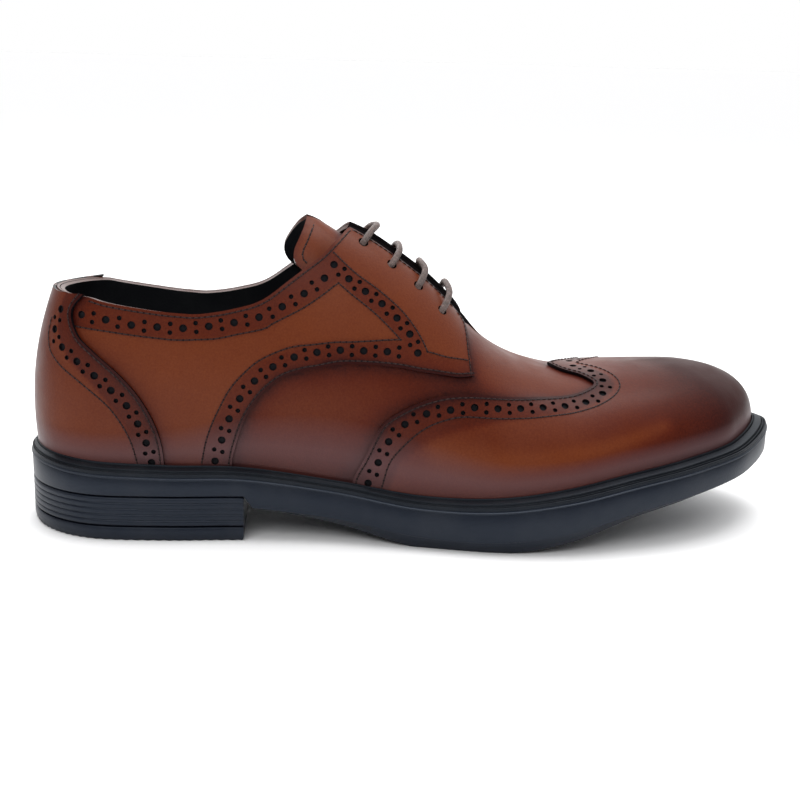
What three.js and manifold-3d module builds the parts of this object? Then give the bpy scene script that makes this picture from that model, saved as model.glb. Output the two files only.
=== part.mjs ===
// Right wingtip brogue derby shoe on a moulded rubber unit sole.
// Millimetres, +Z up, +X to the toe, +Y to the inner (medial) side, standing on the plane Z = 0.
import * as THREE from 'three';
import { mergeVertices } from 'three/addons/utils/BufferGeometryUtils.js';
import Module from 'manifold-3d';

const wasm = await Module();
wasm.setup();

// Driving dimensions
const sole_length = 306;
const ball_width = 110;
const instep_height = 101;        // instep ridge above the ground
const heel_lift = 26;             // height of the sole's top edge at the heel
const forefoot_lift = 18;         // height of the sole's top edge at the ball
const toe_spring = 20;            // rise of the sole's top edge from ball to toe tip
const back_height = 70;           // collar above the sole's top edge at the heel
const welt_reach = 7;             // sole edge to upper, at the ball
const welt_height = 3;
const upper_wall = 1.8;           // vamp leather with its lining
const overlay_thickness = 1.2;    // wing cap and counter
const quarter_thickness = 1;
const seam_gap = 0.3;             // clearance between pieces that touch
const insole_thickness = 3;
const tongue_thickness = 2;
const heel_breast = 87;           // heel back to breast
const top_piece_height = 5.7;
const heel_seat_height = 17.7;    // top of the ribbed heel block
const sidewall_height = 12.6;     // the sole's smooth side at the ball
const tread_drop = 5.4;           // tread below the smooth side
const seat_depth = 0.5;           // shallow seat in the sole for the upper and insole
const tread_inset = 3.4;
const edge_bevel = 0.7;
const rib_depth = 0.6;
const rib_width = 3;
const throat_gap = 13;
const throat_front = 170;         // heel back to the vamp's throat edge
const eyelet_count = 4;
const eyelet_diameter = 4.4;
const top_eyelet_offset = 11;     // top eyelet to the middle of the throat
const front_eyelet_offset = 17.5;
const eyelet_setback = 4.7;       // collar's front corner to the top pair of eyelets
const eyelet_pitch = 10.4;
const lace_diameter = 2.8;
const lace_lift = 3;              // how far a bar stands off in the middle
const tongue_front = 182;
const tongue_top = 106;
const tongue_half_width = 26;

// Sections of the last, from the heel back to the toe tip.
// x, apexX: share of sole length; lateral, medial, apexY: share of ball width;
// heel, spring: height of the sole's edge above ball level as a share of the heel's and of the toe spring;
// thick: share of sidewall height; tread: share of tread drop; apex: share of instep height;
// layers: 1 where the counter lies over the quarter;
// reach: share of welt reach; wall: 1 where the side runs up to the collar, 0 where it wraps the foot;
// round, full: exponents of the cross section; lean: inward lean at the top as a share of ball width.
const sections = [
  { x: 0, lateral: 0, medial: 0, heel: 1.34, spring: 0, thick: 0.85, tread: 0, reach: 0.36, layers: 1,
    apexX: 0.147, apexY: 0, apex: 1.05, wall: 1, round: 1, full: 1, lean: 0.096, bulge: 0.02 },
  { x: 0.023, lateral: 0.195, medial: 0.191, heel: 1.27, spring: 0, thick: 0.85, tread: 0, reach: 0.6,
    layers: 1,
    apexX: 0.157, apexY: 0, apex: 1.05, wall: 1, round: 1, full: 1, lean: 0.08, bulge: 0.02 },
  { x: 0.085, lateral: 0.318, medial: 0.314, heel: 1.12, spring: 0, thick: 0.8, tread: 0, reach: 0.9,
    layers: 1,
    apexX: 0.183, apexY: 0, apex: 1.07, wall: 1, round: 1, full: 1, lean: 0.055, bulge: 0.018 },
  { x: 0.183, lateral: 0.345, medial: 0.341, heel: 1, spring: 0, thick: 0.7, tread: 0, reach: 0.95,
    layers: 1,
    apexX: 0.229, apexY: 0, apex: 1.13, wall: 0.9, round: 1, full: 1, lean: 0.045, bulge: 0.018 },
  { x: 0.284, lateral: 0.341, medial: 0.332, heel: 0.94, spring: 0, thick: 0.94, tread: 0, reach: 0.8,
    layers: 0.2,
    apexX: 0.301, apexY: 0, apex: 1.22, wall: 0.45, round: 1, full: 1, lean: 0.045, bulge: 0.018 },
  { x: 0.399, lateral: 0.364, medial: 0.341, heel: 0.44, spring: 0, thick: 0.93, tread: 0.5, reach: 0.62,
    layers: 0,
    apexX: 0.395, apexY: 0, apex: 1.2, wall: 0, round: 1, full: 1, lean: 0.04, bulge: 0 },
  { x: 0.503, lateral: 0.427, medial: 0.382, heel: 0, spring: -0.03, thick: 0.98, tread: 1, reach: 0.85,
    layers: 0,
    apexX: 0.503, apexY: 0.005, apex: 1, wall: 0, round: 0.98, full: 0.96, lean: 0.04, bulge: 0 },
  { x: 0.601, lateral: 0.482, medial: 0.455, heel: 0, spring: 0, thick: 1.05, tread: 1, reach: 1, layers: 0,
    apexX: 0.601, apexY: 0.02, apex: 0.72, wall: 0, round: 0.95, full: 0.92, lean: 0.04, bulge: 0 },
  { x: 0.693, lateral: 0.487, medial: 0.505, heel: 0, spring: 0.19, thick: 1.05, tread: 0.85, reach: 1.05,
    layers: 0,
    apexX: 0.683, apexY: 0.036, apex: 0.614, wall: 0, round: 0.9, full: 0.86, lean: 0.04, bulge: 0 },
  { x: 0.784, lateral: 0.43, medial: 0.482, heel: 0, spring: 0.43, thick: 0.9, tread: 0.5, reach: 1,
    layers: 0,
    apexX: 0.748, apexY: 0.05, apex: 0.61, wall: 0, round: 0.87, full: 0.82, lean: 0.04, bulge: 0 },
  { x: 0.869, lateral: 0.35, medial: 0.43, heel: 0, spring: 0.62, thick: 0.83, tread: 0.3, reach: 1,
    layers: 0,
    apexX: 0.797, apexY: 0.055, apex: 0.616, wall: 0, round: 0.85, full: 0.8, lean: 0.04, bulge: 0 },
  { x: 0.948, lateral: 0.205, medial: 0.32, heel: 0, spring: 0.8, thick: 0.76, tread: 0.2, reach: 0.95,
    layers: 0,
    apexX: 0.83, apexY: 0.06, apex: 0.622, wall: 0, round: 0.85, full: 0.8, lean: 0.04, bulge: 0 },
  { x: 1, lateral: -0.062, medial: 0.062, heel: 0, spring: 1, thick: 0.8, tread: 0.15, reach: 0.95,
    layers: 0,
    apexX: 0.843, apexY: 0.062, apex: 0.624, wall: 0, round: 0.85, full: 0.8, lean: 0.04, bulge: 0 },
];

const last_row = sections.length - 1;
const columns_in_section = [4, 4, 2, 2, 2, 2, 3, 3, 3, 3, 4, 4];
const rise_steps = 7;

// A value from the table at any place round the shoe: t runs from the heel back (0) along the
// outer side to the toe tip (last_row) and back along the inner side.
function along(name, t) {
  const ring = 2 * last_row;
  const place = Math.floor(t);
  const part = t - place;
  const pick = (index) => {
    const turned = ((index % ring) + ring) % ring;
    const outer = turned <= last_row;
    const row = sections[outer ? turned : ring - turned];
    if (name === 'side') return outer ? -row.lateral : row.medial;
    return row[name];
  };
  const [a, b, c, d] = [pick(place - 1), pick(place), pick(place + 1), pick(place + 2)];
  return 0.5 * (2 * b + (c - a) * part + (2 * a - 5 * b + 4 * c - d) * part ** 2
    + (3 * b - a - 3 * c + d) * part ** 3);
}

// Middle of the sole's widest places, so that the shoe's box is centred on the origin.
const outline_steps = 240;
const outline_places = Array.from({ length: outline_steps }, (_, i) => (i / outline_steps) * 2 * last_row);
const outline_sides = outline_places.map((t) => along('side', t) * ball_width);
const side_middle = (Math.max(...outline_sides) + Math.min(...outline_sides)) / 2;

function edgePoint(t, inset) {
  const step = 0.01;
  const at = (s) => [(along('x', s) - 0.5) * sole_length, along('side', s) * ball_width - side_middle];
  const [x0, y0] = at(t - step);
  const [x1, y1] = at(t + step);
  const [x, y] = at(t);
  const run = Math.hypot(x1 - x0, y1 - y0);
  return [x - ((y1 - y0) / run) * inset, y + ((x1 - x0) / run) * inset];
}

function soleTop(t) {
  return forefoot_lift + along('heel', t) * (heel_lift - forefoot_lift) + along('spring', t) * toe_spring;
}

// Lower edge of the sole's smooth side: level over the heel block, then the arch and the toe spring.
const heel_breast_row = 4;
function rowOf(t) {
  return Math.min(t, 2 * last_row - t);
}
function soleUnder(t) {
  return rowOf(t) <= heel_breast_row ? heel_seat_height + seam_gap
    : soleTop(t) - along('thick', t) * sidewall_height;
}

// Sole edge to the foot of the vamp: the welt, and the layers that lie over the vamp there.
function featherInset(t) {
  return along('reach', t) * welt_reach + overlay_thickness + seam_gap
    + along('layers', t) * (quarter_thickness + seam_gap);
}

// A place on the last: t round the shoe, v from the feather line (0) to the instep ridge (1).
function lastPoint(t, v) {
  const [x, y] = edgePoint(t, featherInset(t));
  const z = soleTop(t);
  const apexX = (along('apexX', t) - 0.5) * sole_length;
  const apexY = along('apexY', t) * ball_width - side_middle * (1 - along('wall', t));
  const apexZ = along('apex', t) * instep_height;
  const wall = Math.min(1, Math.max(0, along('wall', t)));
  const reach = Math.hypot(apexX - x, apexY - y);
  const turn = (v * Math.PI) / 2;
  const wrapIn = 1 - Math.cos(turn) ** along('round', t);
  const wrapUp = Math.sin(turn) ** along('full', t);
  const height = (apexZ - z) * v;
  const share = height / back_height;
  const leanIn = along('lean', t) * ball_width * share ** 2
    - along('bulge', t) * ball_width * Math.sin(Math.PI * Math.min(1, share));
  const inward = (1 - wall) * reach * wrapIn + wall * leanIn;
  return new THREE.Vector3(
    x + ((apexX - x) / reach) * inward,
    y + ((apexY - y) / reach) * inward,
    z + (1 - wall) * (apexZ - z) * wrapUp + wall * height,
  );
}

function lastNormal(t, v) {
  const step = 0.02;
  if (v > 1 - step / 2) {
    const run = along('apexX', t + step) - along('apexX', t - step);
    const rise = (along('apex', t + step) - along('apex', t - step)) * (instep_height / sole_length);
    const size = Math.hypot(run, rise);
    return size < 1e-6 ? new THREE.Vector3(0, 0, 1)
      : new THREE.Vector3((-rise * Math.sign(run)) / size, 0, Math.abs(run) / size);
  }
  const low = Math.max(0, v - step);
  const high = Math.min(1, v + step);
  const across = lastPoint(t + step, v).sub(lastPoint(t - step, v));
  const up = lastPoint(t, high).sub(lastPoint(t, low));
  return across.cross(up).normalize();
}

function solidFrom(points, triangles) {
  const raw = new THREE.BufferGeometry();
  raw.setAttribute('position', new THREE.Float32BufferAttribute(points.flatMap((p) => [p.x, p.y, p.z]), 3));
  raw.setIndex(triangles);
  return solidOf(raw);
}

function solidOf(geometry) {
  const bare = geometry.index ? geometry.clone() : geometry;
  bare.deleteAttribute('normal');
  bare.deleteAttribute('uv');
  const merged = mergeVertices(bare, 1e-4);
  const index = merged.index.array;
  const kept = [];
  for (let i = 0; i < index.length; i += 3) {
    const [a, b, c] = [index[i], index[i + 1], index[i + 2]];
    if (a !== b && b !== c && c !== a) kept.push(a, b, c);
  }
  return new wasm.Manifold(new wasm.Mesh({
    numProp: 3,
    vertProperties: new Float32Array(merged.attributes.position.array),
    triVerts: new Uint32Array(kept),
  }));
}

// Rings with the same number of points, joined to a closed body with a cap on each end.
// Each ring runs from the heel back round the outer side to the toe and back.
function ringBody(rings) {
  const count = rings[0].length;
  const triangles = [];
  const at = (ring, i) => ring * count + (i % count);
  for (let ring = 0; ring + 1 < rings.length; ring += 1) {
    for (let i = 0; i < count; i += 1) {
      triangles.push(at(ring, i), at(ring, i + 1), at(ring + 1, i + 1));
      triangles.push(at(ring, i), at(ring + 1, i + 1), at(ring + 1, i));
    }
  }
  const cap = (ring, flip) => {
    for (let i = 0; i < count / 2; i += 1) {
      const [a, b] = [i, i + 1];
      const [c, d] = [(count - i) % count, (count - i - 1) % count];
      for (const [p, q, r] of [[a, c, d], [a, d, b]]) {
        if (p === q || q === r || r === p) continue;
        triangles.push(at(ring, p), at(ring, flip ? r : q), at(ring, flip ? q : r));
      }
    }
  };
  cap(0, false);
  cap(rings.length - 1, true);
  return solidFrom(rings.flat(), triangles);
}

// Places round the shoe, closer together where heel and toe curve.
const outer_places = columns_in_section.flatMap((count, row) => (
  Array.from({ length: count }, (_, i) => row + i / count)));
const places = [
  ...outer_places, last_row, ...outer_places.slice(1).reverse().map((t) => 2 * last_row - t),
];

// The last grown by a thickness: the forms between which every piece of the upper is cut.
function lastForm(offset, lowered = 0) {
  const rings = [];
  for (let step = 0; step <= rise_steps; step += 1) {
    const v = step / rise_steps;
    rings.push(places.map((t) => lastPoint(t, v).addScaledVector(lastNormal(t, v), offset)));
  }
  if (lowered > 0) {
    rings.unshift(rings[0].map((p) => new THREE.Vector3(p.x, p.y, p.z - lowered)));
  }
  return ringBody(rings);
}

const open_under = 4;
function shell(inner, outer) {
  return lastForm(outer).subtract(lastForm(inner, open_under));
}

// Prisms of an outline: seen from the side (x from the heel back, z) or from above (x, y).
const through = 200;
function outlineShape(points) {
  return new THREE.Shape(points.map(([x, y]) => new THREE.Vector2(x - sole_length / 2, y)));
}

function sidePrism(points) {
  const prism = new THREE.ExtrudeGeometry(outlineShape(points), { depth: through, bevelEnabled: false });
  prism.rotateX(Math.PI / 2);
  prism.translate(0, through / 2, 0);
  return solidOf(prism);
}

function planPrism(points) {
  return solidOf(new THREE.ExtrudeGeometry(outlineShape(points), { depth: through, bevelEnabled: false }));
}

function curveThrough(points, steps) {
  const curve = new THREE.SplineCurve(points.map(([x, y]) => new THREE.Vector2(x, y)));
  return curve.getPoints(steps).map((p) => [p.x, p.y]);
}

const group = new THREE.Group();
const leather = { color: 0x8a4526, roughness: 0.42, metalness: 0 };
const finishes = {
  panel: { ...leather },
  band: { ...leather, color: 0x5c2a1c },
  rubber: { color: 0x1c1e22, roughness: 0.6, metalness: 0 },
  lining: { color: 0x141212, roughness: 0.8, metalness: 0 },
  lace: { color: 0x6e5650, roughness: 0.6, metalness: 0 },
};

function addPiece(name, solid, finish) {
  const mesh = solid.getMesh();
  const stride = mesh.numProp;
  const count = mesh.vertProperties.length / stride;
  const position = new Float32Array(count * 3);
  for (let i = 0; i < count; i += 1) {
    for (let k = 0; k < 3; k += 1) position[3 * i + k] = mesh.vertProperties[stride * i + k];
  }
  const geometry = new THREE.BufferGeometry();
  geometry.setAttribute('position', new THREE.BufferAttribute(position, 3));
  geometry.setIndex(Array.from(mesh.triVerts));
  geometry.computeVertexNormals();
  const piece = new THREE.Mesh(geometry, new THREE.MeshStandardMaterial(finishes[finish]));
  piece.name = name;
  group.add(piece);
}

// Outsole: smooth side wall, arch, toe spring and a tread with a flat spot under the ball
function soleRing(inset, height) {
  return places.map((t) => {
    const [x, y] = edgePoint(t, typeof inset === 'function' ? inset(t) : inset);
    return new THREE.Vector3(x, y, height(t));
  });
}

function treadHeight(t) {
  return Math.max(0, soleUnder(t) - tread_drop * Math.max(0, along('tread', t)));
}

const outsole = ringBody([
  soleRing(tread_inset, treadHeight),
  soleRing(edge_bevel, soleUnder),
  soleRing(0, (t) => soleUnder(t) + edge_bevel),
  soleRing(0, (t) => soleTop(t) - edge_bevel / 2),
  soleRing(edge_bevel / 2, soleTop),
  soleRing((t) => along('reach', t) * welt_reach - 2 * seam_gap, soleTop),
  soleRing((t) => along('reach', t) * welt_reach - seam_gap, (t) => soleTop(t) - seat_depth),
]);
addPiece('outsole', outsole, 'rubber');

// Welt: a moulded rim with two fine steps outside and a bead against the upper
const welt_profile = [
  { across: 0.09, up: 0.1 }, { across: 0.1, up: 0.36 }, { across: 0.2, up: 0.42 },
  { across: 0.26, up: 0.24 }, { across: 0.36, up: 0.72 }, { across: 0.84, up: 0.86 },
  { across: 0.9, up: 1.0 }, { across: 1.0, up: 0.94 }, { across: 1.0, up: 0.1 },
];
const weltRings = welt_profile.map(({ across, up }) => places.map((t) => {
  const width = along('reach', t) * welt_reach - seam_gap;
  const [x, y] = edgePoint(t, across * width);
  return new THREE.Vector3(x, y, soleTop(t) + up * welt_height);
}));
function loopBody(rings) {
  const count = rings[0].length;
  const triangles = [];
  for (let ring = 0; ring < rings.length; ring += 1) {
    const next = (ring + 1) % rings.length;
    for (let i = 0; i < count; i += 1) {
      const j = (i + 1) % count;
      triangles.push(ring * count + i, ring * count + j, next * count + j);
      triangles.push(ring * count + i, next * count + j, next * count + i);
    }
  }
  return solidFrom(rings.flat(), triangles);
}
addPiece('welt', loopBody(weltRings), 'rubber');

// Heel: a ribbed block on a top piece, both with a straight breast
function heelRing(inset, z) {
  const half = places.filter((t) => t <= heel_breast_row);
  return [...half.slice(1).reverse().map((t) => -t), ...half].map((t) => {
    const [x, y] = edgePoint(t, inset);
    const limit = heel_breast - sole_length / 2 - inset;
    return new THREE.Vector3(Math.min(x, limit), y, z);
  });
}

function stackBody(rings) {
  const count = rings[0].length;
  const triangles = [];
  for (let ring = 0; ring + 1 < rings.length; ring += 1) {
    for (let i = 0; i < count; i += 1) {
      const j = (i + 1) % count;
      triangles.push(ring * count + i, ring * count + j, (ring + 1) * count + j);
      triangles.push(ring * count + i, (ring + 1) * count + j, (ring + 1) * count + i);
    }
  }
  const cap = (base, flip) => {
    for (let i = 0; 2 * i + 2 < count; i += 1) {
      const [a, b, c, d] = [i, i + 1, count - 2 - i, count - 1 - i];
      for (const [p, q, r] of b === c ? [[a, b, d]] : [[a, b, c], [a, c, d]]) {
        triangles.push(base + p, base + (flip ? r : q), base + (flip ? q : r));
      }
    }
  };
  cap(0, true);
  cap((rings.length - 1) * count, false);
  return solidFrom(rings.flat(), triangles);
}

const rib_count = Math.floor((heel_seat_height - top_piece_height) / (rib_width + rib_depth));
const ribRings = [heelRing(rib_depth + edge_bevel, top_piece_height + seam_gap)];
const rib_pitch = (heel_seat_height - top_piece_height - seam_gap) / rib_count;
for (let rib = 0; rib < rib_count; rib += 1) {
  const low = top_piece_height + seam_gap + rib * rib_pitch;
  ribRings.push(heelRing(0, low + rib_depth));
  ribRings.push(heelRing(0, low + rib_pitch - rib_depth));
  ribRings.push(heelRing(rib_depth, low + rib_pitch));
}
addPiece('heel_block', stackBody(ribRings), 'rubber');
addPiece('heel_top_piece', stackBody([
  heelRing(edge_bevel, 0), heelRing(0, edge_bevel),
  heelRing(0, top_piece_height - rib_depth), heelRing(rib_depth, top_piece_height),
]), 'rubber');

// Insole on the outsole, inside the upper
function insoleRing(inset, up) {
  return places.map((t) => {
    const [x, y] = edgePoint(t, featherInset(t) + upper_wall + seam_gap + inset);
    return new THREE.Vector3(x, y, soleTop(t) + up);
  });
}
addPiece('insole', ringBody([
  insoleRing(edge_bevel, 0), insoleRing(0, edge_bevel), insoleRing(0, insole_thickness - edge_bevel),
  insoleRing(edge_bevel, insole_thickness),
]), 'lining');

// Upper: vamp with its lining, one hollow wall, open at the collar, the throat and underneath
// Lines seen from the side: x is a share of the sole's length, z a share of instep height.
function sideLine(rows, steps) {
  return curveThrough(rows.map(({ x, z }) => [x * sole_length, z * instep_height]), steps);
}

const collar_line = sideLine([
  { x: -0.039, z: 0.97 }, { x: 0.036, z: 0.952 }, { x: 0.085, z: 0.921 }, { x: 0.15, z: 0.891 },
  { x: 0.203, z: 0.875 }, { x: 0.245, z: 0.875 }, { x: 0.288, z: 0.905 }, { x: 0.33, z: 0.972 },
  { x: 0.366, z: 1.054 }, { x: 0.395, z: 1.129 }, { x: 0.418, z: 1.182 },
], 16);
const collar_front = collar_line[collar_line.length - 1][0];
const first_eyelet = collar_front + eyelet_setback;
const beyond = 20;
const collarCut = sidePrism([...collar_line, [collar_front, through], [-beyond, through]]);
const throatCut = planPrism([
  [tongue_top - beyond, -throat_gap / 2], [throat_front, -throat_gap / 2],
  [throat_front, throat_gap / 2], [tongue_top - beyond, throat_gap / 2],
]);

function eyeletOffset(index) {
  const share = index / (eyelet_count - 1);
  return top_eyelet_offset + (front_eyelet_offset - top_eyelet_offset) * share;
}

function eyeletAt(index, side) {
  const x = first_eyelet + index * eyelet_pitch - sole_length / 2;
  return surfaceAt(x, side * eyeletOffset(index));
}

// Where a test that holds at the start of a range stops holding, found by halving
const halvings = 24;
function halved(start, end, holds) {
  let [held, failed] = [start, end];
  for (let i = 0; i < halvings; i += 1) {
    const middle = (held + failed) / 2;
    if (holds(middle)) held = middle; else failed = middle;
  }
  return held;
}

// The place on the last above a point of the plan: first along the shoe, then across it, in turns
const surface_passes = 6;
function surfaceAt(x, y) {
  const placeOf = (row) => (y < 0 ? row : 2 * last_row - row);
  let row = heel_breast_row;
  let v = 1;
  for (let pass = 0; pass < surface_passes; pass += 1) {
    row = halved(heel_breast_row, last_row - 1, (tried) => lastPoint(placeOf(tried), v).x < x);
    v = halved(1, 0, (tried) => Math.abs(lastPoint(placeOf(row), tried).y) < Math.abs(y));
  }
  return { point: lastPoint(placeOf(row), v), normal: lastNormal(placeOf(row), v) };
}

const eyelet_sides = 10;
const eyelet_reach = 8;
const eyeletCuts = [];
for (let index = 0; index < eyelet_count; index += 1) {
  for (const side of [-1, 1]) {
    const { point, normal } = eyeletAt(index, side);
    const radius = eyelet_diameter / 2;
    const drill = new THREE.CylinderGeometry(radius, radius, eyelet_reach, eyelet_sides);
    drill.applyQuaternion(new THREE.Quaternion().setFromUnitVectors(new THREE.Vector3(0, 1, 0), normal));
    drill.translate(point.x, point.y, point.z);
    eyeletCuts.push(solidOf(drill));
  }
}
const eyelets = eyeletCuts.reduce((all, cut) => all.add(cut));

const upper = shell(-upper_wall, 0).subtract(collarCut).subtract(throatCut).subtract(eyelets);
addPiece('upper', upper, 'panel');

// Tongue: a curved sheet under the facings, its front end under the vamp
const tongueForm = shell(-upper_wall - seam_gap - tongue_thickness, -upper_wall - seam_gap);
const tongue_taper = 0.8;         // its front end, a share of its width
const tongue_low_back = 0.85;     // its lower edge, shares of instep height
const tongue_low_front = 0.44;
// The rounded end: back in mm behind the tongue's top, side a share of its half width
const tongue_tip = [
  { back: 4, side: -1 }, { back: -2, side: -0.85 }, { back: 0, side: -0.5 }, { back: 2, side: 0 },
  { back: 0, side: 0.5 }, { back: -2, side: 0.85 }, { back: 4, side: 1 },
];
const tonguePlan = planPrism([
  ...curveThrough(tongue_tip.map(({ back, side }) => [tongue_top + back, side * tongue_half_width]), 12),
  [tongue_front, tongue_half_width * tongue_taper], [tongue_front, -tongue_half_width * tongue_taper],
]);
const tongueHigh = sidePrism([
  [tongue_top - beyond, instep_height * tongue_low_back],
  [tongue_front + beyond, instep_height * tongue_low_front],
  [tongue_front + beyond, through], [tongue_top - beyond, through],
]);
addPiece('tongue', tongueForm.intersect(tonguePlan).intersect(tongueHigh), 'lining');

// Quarters with their facings, over the vamp
const quarter_front = sideLine([
  { x: 0.268, z: 0.119 }, { x: 0.268, z: 0.287 }, { x: 0.278, z: 0.411 }, { x: 0.3, z: 0.545 },
  { x: 0.332, z: 0.634 }, { x: 0.376, z: 0.678 }, { x: 0.425, z: 0.693 }, { x: 0.479, z: 0.685 },
  { x: 0.523, z: 0.665 }, { x: 0.572, z: 0.649 },
], 16);
const facing_end = sideLine([
  { x: 0.569, z: 0.743 }, { x: 0.565, z: 0.822 }, { x: 0.552, z: 0.881 },
], 4);
const facing_top = facing_end[facing_end.length - 1][0];
const quarterSide = sidePrism([
  ...quarter_front, ...facing_end, [facing_top, through], [-beyond, through], [-beyond, 0],
]);
const quarterForm = shell(seam_gap, seam_gap + quarter_thickness);
const half_seam = seam_gap / 2;
for (const [name, side] of [['quarter_lateral', -1], ['quarter_medial', 1]]) {
  const half = planPrism([
    [-beyond, side * half_seam], [tongue_top - beyond, side * half_seam],
    [tongue_top - beyond, side * throat_gap / 2], [sole_length, side * throat_gap / 2],
    [sole_length, side * ball_width], [-beyond, side * ball_width],
  ]);
  const quarter = quarterForm.intersect(quarterSide).subtract(collarCut).subtract(eyelets);
  addPiece(name, quarter.intersect(half), 'band');
}

// Heel counter, over both quarters
const counter_inner = 2 * seam_gap + quarter_thickness;
const counterForm = shell(counter_inner, counter_inner + overlay_thickness);
const counterSide = sidePrism([
  ...sideLine([
  { x: 0.098, z: 1.109 }, { x: 0.086, z: 0.936 }, { x: 0.071, z: 0.866 }, { x: 0.076, z: 0.782 },
  { x: 0.098, z: 0.723 }, { x: 0.122, z: 0.663 }, { x: 0.143, z: 0.599 }, { x: 0.16, z: 0.525 },
  { x: 0.173, z: 0.446 }, { x: 0.182, z: 0.356 }, { x: 0.184, z: 0.257 }, { x: 0.184, z: 0.139 },
  ], 16),
  [-beyond, 0], [-beyond, through],
]);
addPiece('heel_counter', counterForm.intersect(counterSide).subtract(collarCut), 'band');

// Wing cap over the vamp: side wings joined to a centre peak
const wingForm = shell(seam_gap, seam_gap + overlay_thickness);
const wing_line = sideLine([
  { x: 0.422, z: 0.099 }, { x: 0.422, z: 0.218 }, { x: 0.437, z: 0.337 }, { x: 0.458, z: 0.465 },
  { x: 0.487, z: 0.531 }, { x: 0.518, z: 0.569 }, { x: 0.556, z: 0.586 }, { x: 0.601, z: 0.578 },
  { x: 0.65, z: 0.564 }, { x: 0.686, z: 0.562 }, { x: 0.716, z: 0.57 }, { x: 0.738, z: 0.594 },
], 16);
const wing_shoulder = wing_line[wing_line.length - 1][0];
const wingSide = sidePrism([
  ...wing_line, [wing_shoulder, through], [sole_length + beyond, through], [sole_length + beyond, 0],
]);
// The peak seen from above: y is a share of ball width
const peak_rows = [
  { x: 0.748, y: -0.218 }, { x: 0.738, y: -0.161 }, { x: 0.722, y: -0.089 }, { x: 0.701, y: -0.036 },
  { x: 0.688, y: 0.029 }, { x: 0.701, y: 0.095 }, { x: 0.722, y: 0.147 }, { x: 0.738, y: 0.218 },
  { x: 0.748, y: 0.273 },
];
const wingPeak = planPrism([
  ...curveThrough(peak_rows.map(({ x, y }) => [x * sole_length, y * ball_width]), 14),
  [sole_length, ball_width / 2], [sole_length, -ball_width / 2],
]);
addPiece('wing_cap', wingForm.intersect(wingSide.add(wingPeak)), 'band');

// Laces: straight bars between the pairs of eyelets, standing off in the middle
const lace_sides = 8;
const lace_steps = 12;
const stand = seam_gap + quarter_thickness + seam_gap + lace_diameter / 2;
// side: share of the way to the eyelet; forward: share of eyelet pitch; lift: share of lace lift
const lace_route = [
  { side: -1, forward: 0, lift: -0.2 }, { side: -0.55, forward: 0.26, lift: 0.5 },
  { side: -0.001, forward: 0.1, lift: 1 }, { side: 0.6, forward: 0.05, lift: 0.5 },
  { side: 1, forward: 0, lift: -0.2 },
];
for (let index = 0; index < eyelet_count; index += 1) {
  const eyelet_x = first_eyelet + index * eyelet_pitch - sole_length / 2;
  const route = lace_route.map(({ side, forward, lift }) => {
    const { point, normal } = surfaceAt(eyelet_x + forward * eyelet_pitch, side * eyeletOffset(index));
    return point.addScaledVector(normal, stand + lift * lace_lift);
  });
  const circle = new THREE.Shape().absarc(0, 0, lace_diameter / 2, 0, Math.PI * 2);
  const bar = new THREE.ExtrudeGeometry(circle, {
    steps: lace_steps, curveSegments: lace_sides / 2, bevelEnabled: false,
    extrudePath: new THREE.CatmullRomCurve3(route),
  });
  addPiece(`lace_bar_${index + 1}`, solidOf(bar), 'lace');
}

export default group;
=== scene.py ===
import bmesh
import bpy
import math
import numpy as np
from mathutils import Matrix, Vector
from mathutils.geometry import delaunay_2d_cdt


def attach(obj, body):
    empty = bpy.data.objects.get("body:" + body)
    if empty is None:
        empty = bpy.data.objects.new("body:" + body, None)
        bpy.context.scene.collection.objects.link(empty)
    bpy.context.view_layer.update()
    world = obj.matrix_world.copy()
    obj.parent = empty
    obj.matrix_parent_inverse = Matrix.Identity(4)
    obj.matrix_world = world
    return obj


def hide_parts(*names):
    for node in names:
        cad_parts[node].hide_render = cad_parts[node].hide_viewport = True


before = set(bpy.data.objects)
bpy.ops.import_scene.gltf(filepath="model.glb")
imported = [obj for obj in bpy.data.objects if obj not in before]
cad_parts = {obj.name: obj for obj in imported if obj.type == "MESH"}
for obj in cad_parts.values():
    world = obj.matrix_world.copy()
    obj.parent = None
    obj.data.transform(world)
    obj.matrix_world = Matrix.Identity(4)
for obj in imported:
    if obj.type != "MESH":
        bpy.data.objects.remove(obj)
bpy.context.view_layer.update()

# Camera: the photographer stands on the outer side, a little behind the middle, and looks down
# on the shoe by 15 degrees. The camera is rolled by a degree and a half.
CAMERA_DISTANCE = 0.52
CAMERA_TILT = math.radians(15.2)
CAMERA_TURN = math.radians(4)
CAMERA_ROLL = math.radians(1.5)
CAMERA_AIM = Vector((-0.0038, 0.0, 0.0471))
CAMERA_LENS_MM = 56.7
look = Vector((math.sin(CAMERA_TURN) * math.cos(CAMERA_TILT),
               math.cos(CAMERA_TURN) * math.cos(CAMERA_TILT), -math.sin(CAMERA_TILT)))
across = look.cross(Vector((0, 0, 1))).normalized()
upward = across.cross(look)
rolled_across = across * math.cos(CAMERA_ROLL) + upward * math.sin(CAMERA_ROLL)
rolled_up = upward * math.cos(CAMERA_ROLL) - across * math.sin(CAMERA_ROLL)
camera_data = bpy.data.cameras.new("camera")
camera_data.lens = CAMERA_LENS_MM
camera_data.sensor_width = 36
camera = bpy.data.objects.new("camera", camera_data)
turn = Matrix((rolled_across, rolled_up, -look)).transposed().to_4x4()
camera.matrix_world = Matrix.Translation(CAMERA_AIM - look * CAMERA_DISTANCE) @ turn
bpy.context.scene.collection.objects.link(camera)
bpy.context.scene.camera = camera

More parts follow.
